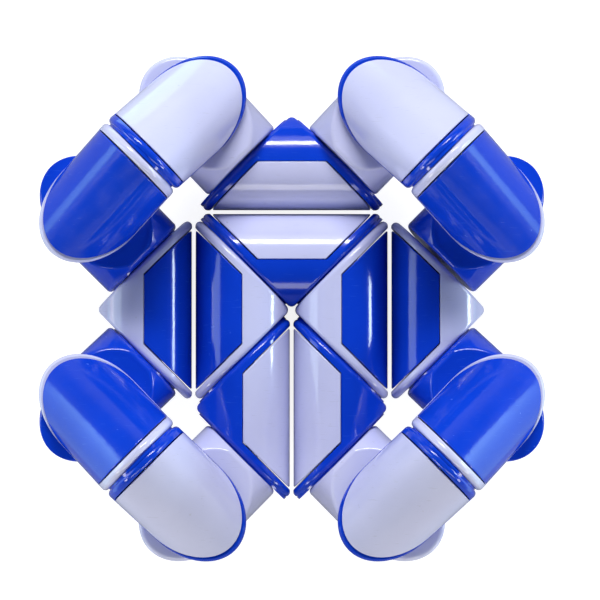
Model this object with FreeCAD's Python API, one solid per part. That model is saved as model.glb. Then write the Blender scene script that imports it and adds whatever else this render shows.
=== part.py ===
import FreeCAD, Part
import math
import os

from FreeCAD import Matrix, Vector

# Twisty snake puzzle: a chain of 24 cylindrical wedges on 23 pivots, folded into a closed ring.
# Every wedge is a round tube cut at 45 degrees at both ends, so its end faces are ellipses at
# right angles. It is drawn once in its own frame: the two pivot planes are x = 0 and y = 0, the
# tube's axis runs through (PITCH/2, 0, 0) and (0, PITCH/2, 0), and the pivots are the planes'
# normals at those two points. All lengths are in millimetres.

# Driving dimensions
PITCH = 24.0             # from pivot plane to pivot plane across one cell of the folded shape
TUBE_R = 8.2             # outer radius of the shell and its rims
CAP_R = 8.15             # outer radius of the cap, just under the rims
WALL = 1.5               # wall of the shell's tube and of the cap
PLATE_SETBACK = 0.15     # end face behind its pivot plane: half of the gap at a pivot
FREE_END_SETBACK = 0.12  # further setback of the chain's two free end faces
PLATE_T = 1.6            # thickness of an end plate
RIM_R = 0.8              # rounding of the rims
CORNER_R = 1.0           # rounding of the right-angle corner
CAP_GAP = 0.12           # seam between a cap and its shell

SCREW_R = 1.0            # pivot screw's shank
TURNING_GAP = 0.08       # running clearance round the shank in the wedge that turns on it
THREAD_GAP = 0.02        # clearance round the shank in its boss
SCREW_END = 5.2          # how far the shank reaches into the wedge that holds it
BORE_END = 5.6
BOSS_R = 2.3
BOSS_END = 6.2
HEAD_R = 1.8
HEAD_T = 1.2
DRIVE_SLOT_W = 0.5
DRIVE_SLOT_DEPTH = 0.6
WASHER_R = 2.3
WASHER_T = 0.4
SPRING_R = 1.75          # mean radius of the spring
SPRING_WIRE_R = 0.25
SPRING_LENGTH = 3.0
SPRING_HALF_TURNS = 8
SEAT_GAP = 0.05          # between the spring and its two seats

RIDGE_INNER = 2.8        # click ridges, one for each quarter turn
RIDGE_OUTER = 5.4
RIDGE_W = 0.6
RIDGE_H = 0.12
GROOVE_MARGIN = 0.1      # how much a groove is larger than a ridge on each side
GROOVE_DEPTH = 0.15

PEG_R = 0.9              # snap pegs under the cap
PEG_Z = 3.4
PEG_TIP = 5.0            # from the right-angle corner
SOCKET_R = 1.7
SOCKET_FLOOR = 4.6
SOCKET_TOP = 8.0
SOCKET_GAP = 0.1

# Derived dimensions
AXIS_FROM_CORNER = PITCH / (2.0 * math.sqrt(2.0))
PLATE_INNER = PLATE_SETBACK + PLATE_T
SPRING_START = PLATE_INNER + SEAT_GAP
WASHER_START = SPRING_START + SPRING_LENGTH + SEAT_GAP
HEAD_START = WASHER_START + WASHER_T
RIM_TIP = PITCH / 2 + (TUBE_R - RIM_R) * math.sqrt(2.0) - PLATE_SETBACK
STANDING_DROP = PITCH - RIM_TIP   # the lowest rims are this far above the lattice cells' floor
BIG = 4.0 * PITCH

X = Vector(1, 0, 0)
Y = Vector(0, 1, 0)
Z = Vector(0, 0, 1)
TOWARD_CAP = Vector(1, 1, 0).normalize()
TUBE_AXIS = Vector(1, -1, 0).normalize()

# The folded shape lies on a cubic lattice of cells. A and B lie level, C points up.
LATTICE = {
    "A": Vector(1, -1, 0).normalize(),
    "B": Vector(1, 1, 0).normalize(),
    "C": Vector(0, 0, 1),
}
# Each wedge of the chain: its cell, the side where the chain enters and the side where it leaves.
CHAIN = (
    ((1, 1, 0), "+B", "+A"), ((2, 1, 0), "-A", "+C"), ((2, 1, 1), "-C", "-B"),
    ((2, 0, 1), "+B", "-C"), ((2, 0, 0), "+C", "-A"), ((1, 0, 0), "+A", "+B"),
    ((1, 1, 0), "-B", "-A"), ((0, 1, 0), "+A", "-B"), ((0, 0, 0), "+B", "+A"),
    ((1, 0, 0), "-A", "-B"), ((1, -1, 0), "+B", "+C"), ((1, -1, 1), "-C", "-A"),
    ((0, -1, 1), "+A", "-C"), ((0, -1, 0), "+C", "+B"), ((0, 0, 0), "-B", "-A"),
    ((-1, 0, 0), "+A", "+C"), ((-1, 0, 1), "-C", "+B"), ((-1, 1, 1), "-B", "-C"),
    ((-1, 1, 0), "+C", "+A"), ((0, 1, 0), "-A", "+B"), ((0, 2, 0), "-B", "+C"),
    ((0, 2, 1), "-C", "+A"), ((1, 2, 1), "-A", "-C"), ((1, 2, 0), "+C", "-B"),
)


def rod(radius, start, end, direction, base=Vector()):
    """A cylinder along direction, from start to end as measured from base."""
    return Part.makeCylinder(radius, end - start, base + direction * start, direction)


def tube(radius):
    """A wedge's round body before its ends are cut."""
    return rod(radius, -BIG / 2, BIG / 2, TUBE_AXIS, TOWARD_CAP * AXIS_FROM_CORNER)


def past_planes(x_plane, y_plane):
    """The space x > x_plane, y > y_plane."""
    return Part.makeBox(BIG, BIG, BIG, Vector(x_plane, y_plane, -BIG / 2))


def cap_side(offset=0.0):
    """The space on the long side of the tube's axis plane, starting offset past it."""
    block = Part.makeBox(BIG, BIG, BIG, Vector(-BIG / 2, -BIG / 2, 0))
    block.Placement = FreeCAD.Placement(Vector(), FreeCAD.Rotation(Z, TOWARD_CAP))
    return block.translated(TOWARD_CAP * (AXIS_FROM_CORNER + offset))


def wedge_block(x_plane, y_plane):
    """The outside of a wedge: the tube cut by its end planes, with round corner and rims."""
    cutter = past_planes(x_plane, y_plane)
    corner = [
        edge for edge in cutter.Edges
        if all(abs(v.X - x_plane) + abs(v.Y - y_plane) < 1e-6 for v in edge.Vertexes)
    ]
    solid = tube(TUBE_R).common(cutter.makeFillet(CORNER_R, corner))
    rims = []
    for edge in solid.Edges:
        sides = solid.ancestorsOfType(edge, Part.Face)
        round_sides = [
            face for face in sides
            if isinstance(face.Surface, Part.Cylinder) and abs(face.Surface.Radius - TUBE_R) < 1e-6
        ]
        if len(round_sides) == 1:
            rims.append(edge)
    return solid.makeFillet(RIM_R, rims)


def pivots():
    """Each end face's inward normal, pivot point and a level direction in the face."""
    return {"enter": (X, Y * (PITCH / 2), Y), "leave": (Y, X * (PITCH / 2), X)}


def radial_bars(normal, centre, level, margin, bottom, top):
    """Four bars round a pivot, from depth bottom to depth top behind the pivot plane."""
    bars = []
    length = RIDGE_OUTER - RIDGE_INNER + 2 * margin
    width = RIDGE_W + 2 * margin
    for direction in (level, -level, Z, -Z):
        bar = Part.makeBox(length, width, top - bottom, Vector(0, -width / 2, 0))
        across = normal.cross(direction)
        frame = Matrix(
            direction.x, across.x, normal.x, 0,
            direction.y, across.y, normal.y, 0,
            direction.z, across.z, normal.z, 0,
            0, 0, 0, 1)
        bar.Placement = FreeCAD.Placement(frame)
        start = centre + direction * (RIDGE_INNER - margin) + normal * bottom
        bars.append(bar.translated(start))
    return bars


def shell(ends):
    """A wedge's shell. ends names each end's kind: boss, hole or free."""
    planes = [
        PLATE_SETBACK + (FREE_END_SETBACK if ends[side] == "free" else 0.0)
        for side in ("enter", "leave")
    ]
    block = wedge_block(*planes)
    hollow = past_planes(PLATE_INNER, PLATE_INNER)
    body = block.cut([tube(TUBE_R - WALL).common(hollow), cap_side().common(hollow)])
    added = []
    removed = []
    for z in (-PEG_Z, PEG_Z):
        post = rod(SOCKET_R, 0, SOCKET_TOP, TOWARD_CAP, Z * z)
        added.append(post.common(block).common(tube(TUBE_R - WALL / 2)))
        removed.append(rod(PEG_R + SOCKET_GAP, SOCKET_FLOOR, SOCKET_TOP, TOWARD_CAP, Z * z))
    for side, (normal, centre, level) in pivots().items():
        if ends[side] == "boss":
            added.append(rod(BOSS_R, PLATE_INNER - WALL / 2, BOSS_END, normal, centre))
            removed.append(rod(SCREW_R + THREAD_GAP, 0, BORE_END, normal, centre))
            removed += radial_bars(normal, centre, level, GROOVE_MARGIN, 0,
                                   PLATE_SETBACK + GROOVE_DEPTH)
        if ends[side] == "hole":
            removed.append(rod(SCREW_R + TURNING_GAP, 0, PLATE_INNER, normal, centre))
            added += radial_bars(normal, centre, level, 0, PLATE_SETBACK - RIDGE_H, PLATE_INNER / 2)
    return body.fuse(added).cut(removed).removeSplitter()


def cap():
    """A wedge's cap: half of the tube, with two snap pegs that reach into the shell's sockets."""
    inside = past_planes(PLATE_INNER + CAP_GAP, PLATE_INNER + CAP_GAP)
    skin = tube(CAP_R).cut(tube(CAP_R - WALL)).common(inside).common(cap_side(CAP_GAP / 2))
    pegs = [
        rod(PEG_R, PEG_TIP, BIG / 2, TOWARD_CAP, Z * z).common(tube(CAP_R - WALL / 2))
        for z in (-PEG_Z, PEG_Z)
    ]
    return skin.fuse(pegs).removeSplitter()


def spring(normal, centre):
    """The compression spring, round the screw on the far side of the pivot plane.

    Each half turn is an arc in its own slanted plane. All the arcs' ends point along y, so they
    run on smoothly from one to the next.
    """
    rise = (SPRING_LENGTH - 2 * SPRING_WIRE_R) / SPRING_HALF_TURNS
    arcs = []
    for step in range(SPRING_HALF_TURNS):
        side = 1 if step % 2 == 0 else -1
        middle = Vector(0, 0, SPRING_WIRE_R + rise * (step + 0.5))
        start = Vector(side * SPRING_R, 0, -rise / 2)
        disc = Part.Face(Part.Wire(Part.makeCircle(SPRING_WIRE_R, middle + start, Y)))
        arcs.append(disc.revolve(middle, start.cross(Y) * side, 180))
    coil = arcs[0].fuse(arcs[1:]).removeSplitter()
    coil.Placement = FreeCAD.Placement(
        centre - normal * SPRING_START, FreeCAD.Rotation(Z, -normal))
    return coil


def pivot_hardware(side):
    """The screw, washer and spring of one pivot, in the frame of the wedge that holds the thread."""
    normal, centre, level = pivots()[side]
    head_end = HEAD_START + HEAD_T
    screw = rod(SCREW_R, -HEAD_START, SCREW_END, normal, centre)
    screw = screw.fuse(rod(HEAD_R, -head_end, -HEAD_START, normal, centre)).removeSplitter()
    slot = Part.makeBox(2 * HEAD_R, 2 * HEAD_R, DRIVE_SLOT_W)
    slot.translate(Vector(-HEAD_R, -HEAD_R, -DRIVE_SLOT_W / 2))
    slot.translate(centre - normal * (head_end - DRIVE_SLOT_DEPTH + HEAD_R))
    washer = rod(WASHER_R, -HEAD_START, -WASHER_START, normal, centre)
    washer = washer.cut(rod(SCREW_R + TURNING_GAP, -HEAD_START, -WASHER_START, normal, centre))
    return [screw.cut(slot), washer, spring(normal, centre)]


def side_normal(side):
    """The outward direction of a cell's side, such as +A."""
    return LATTICE[side[1]] * (1 if side[0] == "+" else -1)


def folded(cell, enter, leave):
    """Where a wedge of the chain lies in the folded shape."""
    steps = (cell[0] - 0.5, cell[1] - 0.5, cell[2] + 0.5)
    centre = Vector(0, 0, -STANDING_DROP)
    for step, axis in zip(steps, LATTICE.values()):
        centre += axis * (step * PITCH)
    x_axis = -side_normal(enter)
    y_axis = -side_normal(leave)
    z_axis = x_axis.cross(y_axis)
    corner = centre - (x_axis + y_axis) * (PITCH / 2)
    return FreeCAD.Placement(Matrix(
        x_axis.x, y_axis.x, z_axis.x, corner.x,
        x_axis.y, y_axis.y, z_axis.y, corner.y,
        x_axis.z, y_axis.z, z_axis.z, corner.z,
        0, 0, 0, 1))


def write(name, shape, place):
    """Writes a copy of shape, laid in its place, as one node."""
    laid = shape.copy()
    laid.Placement = place.multiply(laid.Placement)
    laid.exportStep("parts/" + name + ".step")


def main():
    os.makedirs("parts", exist_ok=True)
    one_cap = cap()
    hardware = {side: pivot_hardware(side) for side in ("enter", "leave")}
    shells = {}
    for index, (cell, enter, leave) in enumerate(CHAIN):
        kind = "boss" if index % 2 == 0 else "hole"
        ends = {
            "enter": "free" if index == 0 else kind,
            "leave": "free" if index == len(CHAIN) - 1 else kind,
        }
        key = (ends["enter"], ends["leave"])
        if key not in shells:
            shells[key] = shell(ends)
        place = folded(cell, enter, leave)
        name = "wedge_%02d_" % (index + 1)
        write(name + "shell", shells[key], place)
        write(name + "cap", one_cap, place)
        if kind == "boss":
            held = [piece for side in hardware if ends[side] == "boss" for piece in hardware[side]]
            write(name + "pivot_hardware", Part.makeCompound(held), place)


main()
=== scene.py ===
import math

import bpy
from mathutils import Matrix, Vector


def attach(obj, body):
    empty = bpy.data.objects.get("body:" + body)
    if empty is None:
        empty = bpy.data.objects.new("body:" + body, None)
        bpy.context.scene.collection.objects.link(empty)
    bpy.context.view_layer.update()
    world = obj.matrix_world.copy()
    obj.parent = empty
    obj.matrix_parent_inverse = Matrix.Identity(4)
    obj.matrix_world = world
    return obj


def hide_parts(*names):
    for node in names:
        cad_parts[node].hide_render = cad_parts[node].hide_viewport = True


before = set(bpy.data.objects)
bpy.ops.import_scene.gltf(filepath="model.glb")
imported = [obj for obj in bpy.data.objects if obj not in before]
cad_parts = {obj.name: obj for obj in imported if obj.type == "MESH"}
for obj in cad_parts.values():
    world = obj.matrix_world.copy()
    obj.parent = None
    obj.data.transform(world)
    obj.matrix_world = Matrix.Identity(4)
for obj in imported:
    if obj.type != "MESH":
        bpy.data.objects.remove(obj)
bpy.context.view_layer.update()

# The caps' dimensions are millimetres in the wedge's own frame, where the pivot planes are x = 0
# and y = 0 and the tube's axis runs at right angles to the direction U from the corner.
MM = 0.001
PITCH = 24.0             # between two pivot planes across one cell
TUBE_R = 8.2
CAP_R = 8.15
WALL = 1.5
PLATE_SETBACK = 0.15     # an end plate's face, behind its pivot plane
PLATE_INNER = 1.75       # an end plate's back
RIM_R = 0.8
SEAM = 0.20              # the shadow line round a cap
EDGE_R = 0.16            # rounding of the cap's outer edges
CAP_COLUMNS = 72
CAP_ROWS = 16
EDGE_STEPS = 6

LAND_BORE = 6.0          # clear of the washer and the click ridges
LAND_ROOT = 0.4          # sunk in the end plate
LAND_TOP = -0.1          # just past the pivot plane, and short of the other plate
LAND_INSET = 0.05        # inside the flat part of the end plate
LAND_STEPS = 72

MERGE_DIGITS = 5         # cap points that agree to this many digits are one point
TINY_ANGLE = 1e-6

AXIS_FROM_CORNER = PITCH / (2.0 * math.sqrt(2.0))
RIM_TIP = PITCH / 2 + (TUBE_R - RIM_R) * math.sqrt(2.0) - PLATE_SETBACK
STANDING_DROP = PITCH - RIM_TIP

X = Vector((1, 0, 0))
Y = Vector((0, 1, 0))
Z = Vector((0, 0, 1))
U = (X + Y).normalized()
D = (X - Y).normalized()

# The folded shape lies on a cubic lattice of cells.
LATTICE = {"A": D, "B": U, "C": Z}
# Each wedge of the chain: its cell, the side where the chain enters and the side where it leaves.
CHAIN = (
    ((1, 1, 0), "+B", "+A"), ((2, 1, 0), "-A", "+C"), ((2, 1, 1), "-C", "-B"),
    ((2, 0, 1), "+B", "-C"), ((2, 0, 0), "+C", "-A"), ((1, 0, 0), "+A", "+B"),
    ((1, 1, 0), "-B", "-A"), ((0, 1, 0), "+A", "-B"), ((0, 0, 0), "+B", "+A"),
    ((1, 0, 0), "-A", "-B"), ((1, -1, 0), "+B", "+C"), ((1, -1, 1), "-C", "-A"),
    ((0, -1, 1), "+A", "-C"), ((0, -1, 0), "+C", "+B"), ((0, 0, 0), "-B", "-A"),
    ((-1, 0, 0), "+A", "+C"), ((-1, 0, 1), "-C", "+B"), ((-1, 1, 1), "-B", "-C"),
    ((-1, 1, 0), "+C", "+A"), ((0, 1, 0), "-A", "+B"), ((0, 2, 0), "-B", "+C"),
    ((0, 2, 1), "-C", "+A"), ((1, 2, 1), "-A", "-C"), ((1, 2, 0), "+C", "-B"),
)


def side_normal(side):
    return LATTICE[side[1]] * (1 if side[0] == "+" else -1)


def folded(cell, enter, leave):
    """Where a wedge lies in the folded shape: its own frame in millimetres to the row frame."""
    steps = (cell[0] - 0.5, cell[1] - 0.5, cell[2] + 0.5)
    centre = Vector((0, 0, -STANDING_DROP))
    for step, axis in zip(steps, LATTICE.values()):
        centre += axis * (step * PITCH)
    x_axis = -side_normal(enter)
    y_axis = -side_normal(leave)
    corner = centre - (x_axis + y_axis) * (PITCH / 2)
    turn = Matrix((x_axis, y_axis, x_axis.cross(y_axis))).transposed().to_4x4()
    return Matrix.Scale(MM, 4) @ Matrix.Translation(corner) @ turn


def turned(a, b, share):
    """The unit vector a share of the way from a to b along their great circle."""
    angle = a.angle(b)
    if angle < TINY_ANGLE:
        return a.copy()
    return (a * math.sin((1 - share) * angle) + b * math.sin(share * angle)) / math.sin(angle)


def cap_columns():
    """The columns of the cap's outer side: (distance along U, height, direction)."""
    floor = AXIS_FROM_CORNER + SEAM / 2
    inner = CAP_R - EDGE_R
    last = math.acos((floor + EDGE_R - AXIS_FROM_CORNER) / inner)
    columns = []
    for step in range(CAP_COLUMNS + 1):
        angle = last * (2.0 * step / CAP_COLUMNS - 1.0)
        radial = U * math.cos(angle) + Z * math.sin(angle)
        columns.append((AXIS_FROM_CORNER + inner * math.cos(angle), inner * math.sin(angle), radial))
    first, final = columns[0], columns[-1]
    for step in range(1, EDGE_STEPS + 1):
        share = step / EDGE_STEPS
        columns.insert(0, (first[0], first[1], turned(first[2], -U, share)))
        columns.append((final[0], final[1], turned(final[2], -U, share)))
    return columns


def cap_mesh():
    """A cap as a closed quad mesh with rounded outer edges: points, faces, each face's normals."""
    near = PLATE_INNER + SEAM + EDGE_R
    outer = []
    for along_u, height, direction in cap_columns():
        centre = U * along_u + Z * height
        reach = along_u - near * math.sqrt(2.0)
        column = []
        for step in range(EDGE_STEPS + 1):
            normal = turned(-X, direction, step / EDGE_STEPS)
            column.append((centre - D * reach + normal * EDGE_R, normal))
        for step in range(1, CAP_ROWS):
            slide = reach * (2.0 * step / CAP_ROWS - 1.0)
            column.append((centre + D * slide + direction * EDGE_R, direction))
        for step in range(EDGE_STEPS + 1):
            normal = turned(direction, -Y, step / EDGE_STEPS)
            column.append((centre + D * reach + normal * EDGE_R, normal))
        outer.append(column)
    rows = len(outer[0])
    inner_r = CAP_R - WALL
    floor = SEAM / 2
    last = math.acos(floor / inner_r)
    end = PLATE_INNER + SEAM
    inner = []
    for index in range(len(outer)):
        angle = last * (2.0 * index / (len(outer) - 1) - 1.0)
        radial = U * math.cos(angle) + Z * math.sin(angle)
        along_u = AXIS_FROM_CORNER + inner_r * math.cos(angle)
        reach = along_u - end * math.sqrt(2.0)
        centre = U * along_u + Z * (inner_r * math.sin(angle))
        inner.append([
            (centre + D * (reach * (2.0 * row / (rows - 1) - 1.0)), -radial) for row in range(rows)
        ])
    points, index_of = [], {}

    def number(point):
        key = tuple(round(value, MERGE_DIGITS) for value in point)
        if key not in index_of:
            index_of[key] = len(points)
            points.append(point)
        return index_of[key]

    faces, normals = [], []

    def face(corners, flat=None):
        numbers = [number(point) for point, normal in corners]
        kept = [i for i, each in enumerate(numbers) if each != numbers[i - 1]][::-1]
        if len(kept) >= 3:
            faces.append([numbers[i] for i in kept])
            normals.extend(flat if flat is not None else corners[i][1] for i in kept)

    last_column = len(outer) - 1
    for i in range(last_column):
        for j in range(rows - 1):
            face([outer[i][j], outer[i][j + 1], outer[i + 1][j + 1], outer[i + 1][j]])
            face([inner[i][j], inner[i + 1][j], inner[i + 1][j + 1], inner[i][j + 1]])
        face([outer[i][0], outer[i + 1][0], inner[i + 1][0], inner[i][0]], -X)
        face([outer[i][-1], inner[i][-1], inner[i + 1][-1], outer[i + 1][-1]], -Y)
    for j in range(rows - 1):
        face([outer[0][j], inner[0][j], inner[0][j + 1], outer[0][j + 1]], -U)
        face([outer[last_column][j], outer[last_column][j + 1],
              inner[last_column][j + 1], inner[last_column][j]], -U)
    return points, faces, normals


def land_mesh(leaving):
    """The raised land round a pivot, which closes the slit between the two plates.

    It is a closed ring: its four sides are the root, the outline, the top and the bore."""
    far = PITCH / 2 - PLATE_SETBACK
    long = (TUBE_R - RIM_R) * math.sqrt(2.0) - LAND_INSET
    tall = TUBE_R - RIM_R - LAND_INSET
    angles = [math.tau * step / LAND_STEPS for step in range(LAND_STEPS)]
    bore = [(PITCH / 2 + LAND_BORE * math.cos(a), LAND_BORE * math.sin(a)) for a in angles]
    outline = [(far + long * math.cos(a), tall * math.sin(a)) for a in angles]
    rings = ((LAND_ROOT, bore), (LAND_ROOT, outline), (LAND_TOP, outline), (LAND_TOP, bore))
    points = [Vector((depth, *place)) for depth, ring in rings for place in ring]
    faces, normals = [], []
    for ring in range(len(rings)):
        near, following = ring * LAND_STEPS, (ring + 1) % len(rings) * LAND_STEPS
        for step in range(LAND_STEPS):
            after = (step + 1) % LAND_STEPS
            faces.append([near + step, following + step, following + after, near + after])
            for a in (angles[step], angles[step], angles[after], angles[after]):
                radial = Y * math.cos(a) + Z * math.sin(a)
                outward = (Y * math.cos(a) * tall + Z * math.sin(a) * long).normalized()
                normals.append((X, outward, -X, -radial)[ring])
    if leaving:
        points = [Vector((point.y, point.x, point.z)) for point in points]
        normals = [Vector((normal.y, normal.x, normal.z)) for normal in normals]
        faces = [face[::-1] for face in faces]
        normals = [n for start in range(0, len(normals), 4) for n in normals[start:start + 4][::-1]]
    return points, faces, normals


def lay(name, shape, place, material, body, node):
    """A piece made from shape, laid in its place; it rides on body and stands for node, if any."""
    points, faces, normals = shape
    mesh = bpy.data.meshes.new(name)
    mesh.from_pydata([place @ point for point in points], [], faces)
    turn = place.to_3x3().normalized()
    mesh.polygons.foreach_set("use_smooth", [True] * len(faces))
    mesh.normals_split_custom_set([turn @ normal for normal in normals])
    mesh.materials.append(material)
    piece = bpy.data.objects.new(name, mesh)
    bpy.context.scene.collection.objects.link(piece)
    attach(piece, body)
    if node:
        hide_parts(node)
    return piece


class Nodes:
    """A material's node tree, with short calls to add and join nodes."""

    def __init__(self, name):
        self.material = bpy.data.materials.new(name)
        self.material.use_nodes = True
        self.tree = self.material.node_tree
        self.shader = self.tree.nodes["Principled BSDF"]

    def add(self, kind, values=None, **settings):
        node = self.tree.nodes.new(kind)
        for key, value in settings.items():
            setattr(node, key, value)
        for key, value in (values or {}).items():
            if isinstance(value, bpy.types.NodeSocket):
                self.tree.links.new(value, node.inputs[key])
            else:
                node.inputs[key].default_value = value
        return node

    def noise(self, where, scale, detail=2.0, roughness=0.5):
        return self.add("ShaderNodeTexNoise", {
            "Vector": where, "Scale": scale, "Detail": detail, "Roughness": roughness,
        }).outputs["Fac"]

    def spread(self, value, low, high, out_low, out_high):
        return self.add("ShaderNodeMapRange", {
            "Value": value, "From Min": low, "From Max": high, "To Min": out_low, "To Max": out_high,
        }).outputs["Result"]

    def mix(self, share, first, second):
        node = self.add("ShaderNodeMix", data_type="RGBA")
        colours = [socket for socket in node.inputs if socket.type == "RGBA"]
        self.tree.links.new(share, node.inputs[0])
        for socket, value in zip(colours, (first, second)):
            if isinstance(value, bpy.types.NodeSocket):
                self.tree.links.new(value, socket)
            else:
                socket.default_value = (*value, 1.0)
        return [socket for socket in node.outputs if socket.type == "RGBA"][0]

    def set(self, **values):
        for key, value in values.items():
            socket = self.shader.inputs[key.replace("_", " ")]
            if isinstance(value, bpy.types.NodeSocket):
                self.tree.links.new(value, socket)
            else:
                socket.default_value = value


def plastic(name, colour, cloudy, scuffed, roughness):
    """Glossy moulded plastic: faint clouding in the colour, a slight orange peel, fine scuffs.

    The noise scales are cycles for each metre."""
    made = Nodes(name)
    where = made.add("ShaderNodeTexCoord").outputs["Object"]
    clouds = made.noise(where, 90.0, 3.0)
    body = made.mix(made.spread(clouds, 0.35, 0.65, 0.0, 1.0), colour, cloudy)
    specks = made.spread(made.noise(where, 1100.0, 1.0), 0.74, 0.78, 0.0, 1.0)
    patches = made.spread(made.noise(where, 130.0, 1.0), 0.56, 0.62, 0.0, 1.0)
    both = made.add("ShaderNodeMath", {0: specks, 1: patches}, operation="MULTIPLY").outputs[0]
    stretched = made.add("ShaderNodeMapping", {
        "Vector": where, "Rotation": (0.4, 0.7, 0.9), "Scale": (1.0, 14.0, 1.0)}).outputs[0]
    scratches = made.spread(made.noise(stretched, 420.0, 1.0), 0.70, 0.76, 0.0, 0.6)
    marks = made.add("ShaderNodeMath", {0: both, 1: scratches}, operation="ADD",
                     use_clamp=True).outputs[0]
    faint = made.add("ShaderNodeMath", {0: marks, 1: 0.35}, operation="MULTIPLY").outputs[0]
    made.set(Base_Color=made.mix(faint, body, scuffed))
    smooth = made.spread(made.noise(where, 260.0, 2.0), 0.3, 0.7, roughness, roughness + 0.05)
    worn = made.add("ShaderNodeMath", {0: marks, 1: 0.15, 2: smooth},
                    operation="MULTIPLY_ADD").outputs[0]
    made.set(Roughness=worn)
    peel = made.add("ShaderNodeBump", {
        "Strength": 0.05, "Distance": 0.0002, "Height": made.noise(where, 900.0, 2.0)})
    waves = made.add("ShaderNodeBump", {
        "Strength": 0.025, "Distance": 0.001, "Height": made.noise(where, 120.0, 1.0),
        "Normal": peel.outputs[0]})
    made.set(Normal=waves.outputs[0])
    return made.material


def steel():
    """Bright steel with fine marks from turning and winding."""
    made = Nodes("steel_wire")
    where = made.add("ShaderNodeTexCoord").outputs["Object"]
    turned_marks = made.noise(where, 2400.0, 2.0)
    made.set(Base_Color=made.mix(turned_marks, (0.50, 0.51, 0.53), (0.66, 0.67, 0.69)),
             Metallic=1.0, Roughness=made.spread(turned_marks, 0.3, 0.7, 0.22, 0.38))
    peel = made.add("ShaderNodeBump", {"Strength": 0.1, "Distance": 0.0001, "Height": turned_marks})
    made.set(Normal=peel.outputs[0])
    return made.material


BLUE = plastic("blue_gloss", (0.003, 0.045, 0.57), (0.004, 0.051, 0.62), (0.06, 0.18, 0.78), 0.10)
WHITE = plastic("white_gloss", (0.59, 0.61, 0.87), (0.62, 0.64, 0.90), (0.32, 0.34, 0.44), 0.10)
STEEL = steel()

shape = cap_mesh()
enter_land = land_mesh(leaving=False)
leave_land = land_mesh(leaving=True)
LAST_WEDGE = "wedge_%02d" % len(CHAIN)
for index, (cell, enter, leave) in enumerate(CHAIN):
    wedge = "wedge_%02d" % (index + 1)
    place = folded(cell, enter, leave)
    odd = index % 2 == 0
    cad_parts[wedge + "_shell"].material_slots[0].material = WHITE if odd else BLUE
    lay(wedge + "_cap_moulding", shape, place, BLUE if odd else WHITE,
        wedge, wedge + "_cap")
    if odd:
        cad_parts[wedge + "_pivot_hardware"].material_slots[0].material = STEEL
        continue
    lay(wedge + "_enter_land", enter_land, place, BLUE, wedge, None)
    if wedge != LAST_WEDGE:
        lay(wedge + "_leave_land", leave_land, place, BLUE, wedge, None)

# Studio. Lengths are metres and light powers are watts.
scene = bpy.context.scene
scene.view_settings.view_transform = "Standard"
NEUTRAL = (1.0, 1.0, 1.0)
WARM = (1.0, 0.97, 0.86)
BLUSH = (1.0, 0.90, 0.92)
SKY = (0.74, 0.93, 1.0)
CARD_GLOW = (0.48, 0.90, 1.0)
ROOM = (0.50, 0.68, 1.0)
ROOM_STRENGTH = 0.045
PALE = (0.92, 0.94, 0.97)
PAPER = (0.36, 0.36, 0.38)
PAPER_SEEN = 0.88        # how bright the floor is to the camera, beyond what the lights give it
FLOOR_HALF = 3.0
CARD_HEIGHT = 0.0004
CARD_NEAR_END = 0.06
CENTRE = (0.0, 0.0, 0.02)
# Each softbox: its place, width, height, power and colour.
SOFTBOXES = {
    "key": ((0.0, 0.52, 0.49), 0.40, 0.10, 3.9, NEUTRAL),
    "key_spill": ((0.0, 0.54, 0.44), 0.50, 0.34, 1.15, NEUTRAL),
    "left": ((-0.50, -0.04, 0.20), 0.24, 0.24, 0.55, SKY),
    "right": ((0.50, 0.02, 0.13), 0.18, 0.07, 0.85, SKY),
    "fill_back_left": ((-0.42, 0.42, 0.30), 0.30, 0.11, 0.12, NEUTRAL),
    "fill_back_right": ((0.42, 0.42, 0.30), 0.30, 0.11, 0.12, NEUTRAL),
    "fill_front_left": ((-0.42, -0.42, 0.16), 0.30, 0.11, 1.1, WARM),
    "fill_front_right": ((0.42, -0.42, 0.16), 0.30, 0.11, 1.1, WARM),
    "low_left": ((-0.50, 0.0, 0.06), 0.30, 0.10, 0.40, BLUSH),
    "low_right": ((0.50, 0.0, 0.06), 0.30, 0.10, 0.40, BLUSH),
    "front": ((0.0, -0.52, 0.28), 0.40, 0.16, 0.9, WARM),
}


def look(thing, place, target, up):
    """Stands thing at place so that its -Z axis points at target and its Y axis towards up."""
    back = (Vector(place) - Vector(target)).normalized()
    right = Vector(up).cross(back).normalized()
    turn = Matrix((right, back.cross(right), back)).transposed()
    thing.matrix_world = Matrix.Translation(Vector(place)) @ turn.to_4x4()


def softbox(name, place, width, height, power, colour):
    """A rectangular lamp at place that faces the middle of the object."""
    data = bpy.data.lights.new(name, "AREA")
    data.shape = "RECTANGLE"
    data.size = width
    data.size_y = height
    data.energy = power
    data.color = colour
    lamp = bpy.data.objects.new(name, data)
    scene.collection.objects.link(lamp)
    look(lamp, place, CENTRE, Z)


# The room is dim and the softboxes light the object, so its gloss shows them as streaks. Seen
# directly, the room and the floor are pale.
world = bpy.data.worlds.new("studio")
scene.world = world
world.use_nodes = True
tree = world.node_tree
seen = tree.nodes.new("ShaderNodeLightPath").outputs["Is Camera Ray"]
room = tree.nodes["Background"]
room.inputs["Color"].default_value = (*ROOM, 1.0)
room.inputs["Strength"].default_value = ROOM_STRENGTH
pale = tree.nodes.new("ShaderNodeBackground")
pale.inputs["Color"].default_value = (*PALE, 1.0)
chosen = tree.nodes.new("ShaderNodeMixShader")
tree.links.new(seen, chosen.inputs[0])
tree.links.new(room.outputs[0], chosen.inputs[1])
tree.links.new(pale.outputs[0], chosen.inputs[2])
tree.links.new(chosen.outputs[0], tree.nodes["World Output"].inputs["Surface"])

for name, (place, width, height, power, colour) in SOFTBOXES.items():
    softbox(name, place, width, height, power, colour)

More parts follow.
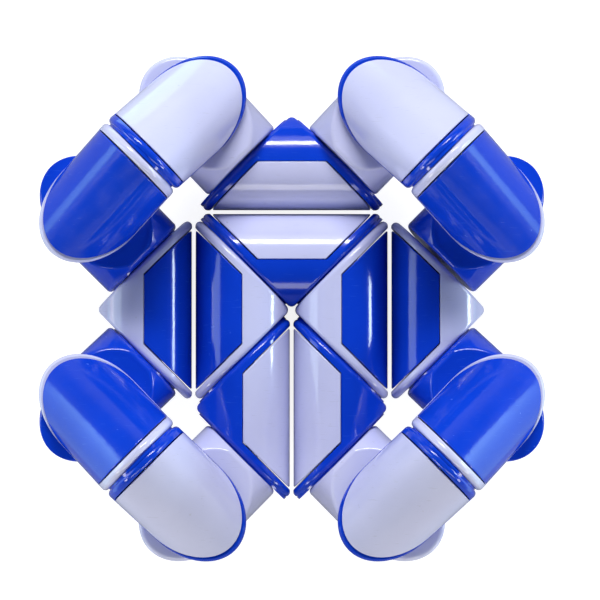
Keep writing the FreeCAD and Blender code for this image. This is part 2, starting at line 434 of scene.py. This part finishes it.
floor_mesh = bpy.data.meshes.new("floor")
floor_mesh.from_pydata([(-FLOOR_HALF, -FLOOR_HALF, 0), (FLOOR_HALF, -FLOOR_HALF, 0),
                        (FLOOR_HALF, FLOOR_HALF, 0), (-FLOOR_HALF, FLOOR_HALF, 0)],
                       [], [(0, 1, 2, 3)])
floor = bpy.data.objects.new("floor", floor_mesh)
scene.collection.objects.link(floor)
paper = Nodes("floor_paper")
direct = paper.add("ShaderNodeLightPath").outputs["Is Camera Ray"]
paper.set(Base_Color=(*PAPER, 1.0), Roughness=1.0, Specular_IOR_Level=0.0,
          Emission_Color=(*NEUTRAL, 1.0),
          Emission_Strength=paper.spread(direct, 0.0, 1.0, 0.0, PAPER_SEEN))
floor_mesh.materials.append(paper.material)


def card(name, corners, near, far, reach):
    """A lit card beside the object, for its gloss: near and far are the glow by and away from it."""
    mesh = bpy.data.meshes.new(name)
    mesh.from_pydata([(x, y, CARD_HEIGHT) for x, y in corners], [], [range(len(corners))])
    lying = bpy.data.objects.new(name, mesh)
    scene.collection.objects.link(lying)
    lying.visible_camera = False
    white = Nodes(name)
    at = white.add("ShaderNodeTexCoord").outputs["Object"]
    away = white.add("ShaderNodeVectorMath", {0: at}, operation="LENGTH").outputs["Value"]
    glow = white.spread(away, CARD_NEAR_END, reach, near, far)
    white.set(Base_Color=(*PAPER, 1.0), Roughness=1.0, Specular_IOR_Level=0.0,
              Emission_Color=(*CARD_GLOW, 1.0), Emission_Strength=glow)
    mesh.materials.append(white.material)


LEFT_CARD = ((-0.42, 0.17), (-0.12, 0.0), (-0.06, -0.02), (-0.06, -0.09), (-0.14, -0.06),
             (-0.25, -0.03), (-0.42, 0.04))
card("card_left", LEFT_CARD, near=0.3, far=4.2, reach=0.36)
card("card_right", [(-x, y) for x, y in LEFT_CARD[::-1]], near=0.3, far=4.8, reach=0.36)
card("card_back", ((-0.06, 0.07), (-0.02, 0.07), (0.0, 0.17), (-0.04, 0.17)),
     near=1.8, far=1.8, reach=0.2)

# The camera stands high above the object, with a long lens.
CAMERA_PLACE = (-0.0035, -0.0173, 0.8103)
CAMERA_TARGET = (0.00145, 0.00173, 0.0103)
camera_data = bpy.data.cameras.new("camera")
camera = bpy.data.objects.new("camera", camera_data)
scene.collection.objects.link(camera)
camera_data.sensor_width = 36.0
camera_data.lens = 277.0
camera_data.clip_start = 0.01
look(camera, CAMERA_PLACE, CAMERA_TARGET, Y)
scene.camera = camera

bpy.context.view_layer.update()
